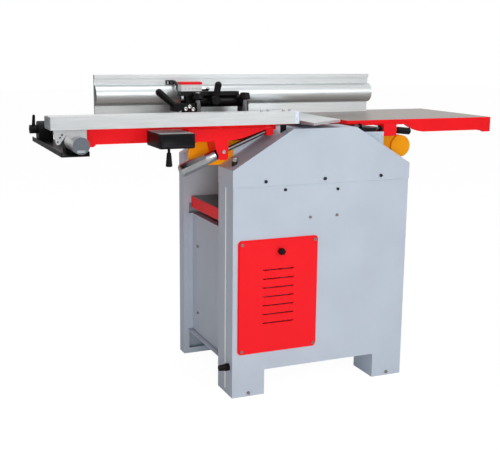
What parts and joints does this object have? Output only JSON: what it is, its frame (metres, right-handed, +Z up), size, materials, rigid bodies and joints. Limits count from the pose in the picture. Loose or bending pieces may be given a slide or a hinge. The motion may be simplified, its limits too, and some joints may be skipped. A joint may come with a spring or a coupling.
{
  "type": "combination planer thicknesser",
  "caption": "Floor-standing combination planer thicknesser: hinged planing tables over a cutterblock, tilting fence, guard bar, and a rising thicknessing table in a sheet-steel cabinet.",
  "frame": {"origin": "on the floor, below the middle of the whole machine's box", "axes": "+X along the feed towards the infeed table's end, +Y from the near wall with the drive cover towards the far wall with the hinges, +Z up"},
  "size_m": [1.556, 0.623, 1.009],
  "materials": {
    "cabinet_paint": "satin powder coat, fine orange peel",
    "red_paint": "gloss paint",
    "table_casting": "gloss painted flanks, ground grey working face",
    "fence_alloy": "drawn and anodised",
    "bright_steel": "turned and ground",
    "dark_steel": "black satin paint",
    "chrome": "polished plating",
    "black_plastic": "moulded, fine grain",
    "hood_paint": "gloss paint",
    "bearing_iron": "as cast, oiled",
    "motor_alloy": "cast, painted grey",
    "belt_rubber": "moulded",
    "bush_brass": "turned",
    "start_green": "moulded",
    "stop_red": "moulded"
  },
  "bodies": {
    "machine": {"near_side_frame": "cabinet_paint", "near_inner_frame": "cabinet_paint", "near_head_panel": "cabinet_paint", "far_side_frame": "cabinet_paint", "far_head_plate": "cabinet_paint", "left_cross_panel": "cabinet_paint", "right_cross_panel": "cabinet_paint", "base_shelf": "cabinet_paint", "drive_cover": "red_paint", "frame_bolts": "dark_steel", "cable_gland": "black_plastic", "motor_body": "motor_alloy", "motor_mount": "cabinet_paint", "drive_belt": "belt_rubber", "cutter_bearings": "bearing_iron", "roller_blocks": "bearing_iron", "chip_hood": "hood_paint", "lock_catches": "cabinet_paint", "table_rest_bolts": "bright_steel", "hinge_brackets": "dark_steel", "hinge_pins": "bright_steel", "lift_columns": "bright_steel", "wheel_bush": "bush_brass", "switch_box": "black_plastic"},
    "cutter": {"cutterblock": "bright_steel", "cutter_knives": "bright_steel", "cutter_pulley": "bright_steel"},
    "motor_drive": {"motor_pulley": "bright_steel"},
    "infeed_feed": {"infeed_roller": "bright_steel"},
    "outfeed_feed": {"outfeed_roller": "bright_steel"},
    "cover_latch": {"cover_knob": "black_plastic"},
    "thicknesser": {"thicknesser_table": "table_casting", "lift_sleeves": "dark_steel"},
    "lift_spindle": {"lift_screw": "bright_steel"},
    "rise_wheel": {"handwheel": "black_plastic", "handwheel_grip": "black_plastic"},
    "outfeed": {"outfeed_table": "table_casting", "guard_pivot": "dark_steel", "end_channel": "dark_steel", "end_clamp_housing": "black_plastic", "latch_box": "black_plastic"},
    "infeed_arm": {"infeed_hinge_arm": "table_casting"},
    "infeed": {"infeed_table": "table_casting"},
    "depth_screw": {"depth_spindle": "black_plastic"},
    "carriage": {"fence_carrier": "dark_steel", "clamp_posts": "black_plastic", "cutter_cover": "fence_alloy"},
    "fence_blade": {"fence": "fence_alloy", "tilt_band": "dark_steel"},
    "slide_lever": {"fence_slide_lever": "black_plastic"},
    "tilt_lever": {"fence_tilt_lever": "black_plastic"},
    "guard": {"guard_bar": "fence_alloy", "guard_bracket": "fence_alloy", "guard_sleeve": "fence_alloy"},
    "end_lever": {"end_clamp_lever": "black_plastic"},
    "table_lock": {"outfeed_lock_rod": "bright_steel", "outfeed_lock_handle": "chrome"},
    "latch": {"latch_handle": "black_plastic"},
    "start": {"start_button": "start_green"},
    "stop": {"stop_button": "stop_red"}
  },
  "joints": [
    {"name": "cutter_spin", "type": "hinge", "parent": "machine", "child": "cutter", "pos_m": [0.086, 0.0575, 0.8335], "axis": [0, 1, 0], "continuous": true},
    {"name": "motor_spin", "type": "hinge", "parent": "machine", "child": "motor_drive", "pos_m": [-0.072, -0.0345, 0.33], "axis": [0, 1, 0], "continuous": true},
    {"name": "infeed_roller_spin", "type": "hinge", "parent": "machine", "child": "infeed_feed", "pos_m": [0.154, 0.0575, 0.8125], "axis": [0, 1, 0], "continuous": true},
    {"name": "outfeed_roller_spin", "type": "hinge", "parent": "machine", "child": "outfeed_feed", "pos_m": [0.018, 0.0575, 0.8125], "axis": [0, 1, 0], "continuous": true},
    {"name": "cover_knob_turn", "type": "hinge", "parent": "machine", "child": "cover_latch", "pos_m": [-0.06696, -0.2345, 0.473], "axis": [0, -1, 0], "range_deg": [0, 90]},
    {"name": "thicknesser_lift", "type": "slide", "parent": "machine", "child": "thicknesser", "axis": [0, 0, 1], "range_m": [-0.02, 0.14]},
    {"name": "lift_screw_turn", "type": "hinge", "parent": "machine", "child": "lift_spindle", "pos_m": [0.086, 0.058, 0.3], "axis": [0, 0, 1], "range_deg": [-10085, 1445]},
    {"name": "handwheel_turn", "type": "hinge", "parent": "machine", "child": "rise_wheel", "pos_m": [0.417, 0.058, 0.18], "axis": [1, 0, 0], "range_deg": [-10085, 1445]},
    {"name": "outfeed_tilt", "type": "hinge", "parent": "machine", "child": "outfeed", "pos_m": [-0.156, 0.2955, 0.838], "axis": [-1, 0, 0], "range_deg": [0, 85]},
    {"name": "infeed_tilt", "type": "hinge", "parent": "machine", "child": "infeed_arm", "pos_m": [0.328, 0.2955, 0.838], "axis": [-1, 0, 0], "range_deg": [0, 85]},
    {"name": "infeed_depth", "type": "slide", "parent": "infeed_arm", "child": "infeed", "axis": [0, 0, 1], "range_m": [-0.004, 0]},
    {"name": "depth_turn", "type": "hinge", "parent": "infeed", "child": "depth_screw", "pos_m": [0.221, -0.1725, 0.853], "axis": [0.9945, 0, -0.1045], "range_deg": [-1445, 5]},
    {"name": "fence_slide", "type": "slide", "parent": "outfeed", "child": "carriage", "axis": [0, 1, 0], "range_m": [-0.165, 0.07]},
    {"name": "fence_tilt", "type": "hinge", "parent": "carriage", "child": "fence_blade", "pos_m": [-0.299, 0.1925, 0.8715], "axis": [-1, 0, 0], "range_deg": [0, 45]},
    {"name": "slide_lever_turn", "type": "hinge", "parent": "carriage", "child": "slide_lever", "pos_m": [-0.325, 0.0145, 0.911], "axis": [0, 1, 0], "range_deg": [-25, 50]},
    {"name": "tilt_lever_turn", "type": "hinge", "parent": "carriage", "child": "tilt_lever", "pos_m": [-0.186, 0.0295, 0.931], "axis": [0, 1, 0], "range_deg": [-40, 40]},
    {"name": "guard_swing", "type": "hinge", "parent": "outfeed", "child": "guard", "pos_m": [-0.7, -0.2245, 0.831], "axis": [0, -1, 0], "range_deg": [0, 60]},
    {"name": "end_lever_turn", "type": "hinge", "parent": "outfeed", "child": "end_lever", "pos_m": [-0.744, 0.1955, 0.837], "axis": [1, 0, 0], "range_deg": [-60, 30]},
    {"name": "lock_turn", "type": "hinge", "parent": "outfeed", "child": "table_lock", "pos_m": [-0.078, -0.1725, 0.852], "axis": [-0.9272, 0, -0.3746], "range_deg": [0, 180]},
    {"name": "latch_turn", "type": "hinge", "parent": "outfeed", "child": "latch", "pos_m": [-0.439, -0.2545, 0.814], "axis": [0, 0, 1], "range_deg": [0, 90]},
    {"name": "start_press", "type": "slide", "parent": "machine", "child": "start", "axis": [0, -1, 0], "range_m": [0, 0.004], "stiffness_N_per_m": 500, "springref_m": -0.002},
    {"name": "stop_press", "type": "slide", "parent": "machine", "child": "stop", "axis": [0, -1, 0], "range_m": [0, 0.004], "stiffness_N_per_m": 500, "springref_m": -0.002}
  ],
  "couplings": [
    {"joint": "motor_spin", "follows": "cutter_spin", "ratio": 0.68182},
    {"joint": "outfeed_roller_spin", "follows": "infeed_roller_spin", "ratio": 1},
    {"joint": "lift_screw_turn", "follows": "thicknesser_lift", "rad_per_m": -1256.6},
    {"joint": "handwheel_turn", "follows": "thicknesser_lift", "rad_per_m": -1256.6},
    {"joint": "infeed_tilt", "follows": "outfeed_tilt", "ratio": 1},
    {"joint": "depth_turn", "follows": "infeed_depth", "rad_per_m": 6283.2}
  ]
}
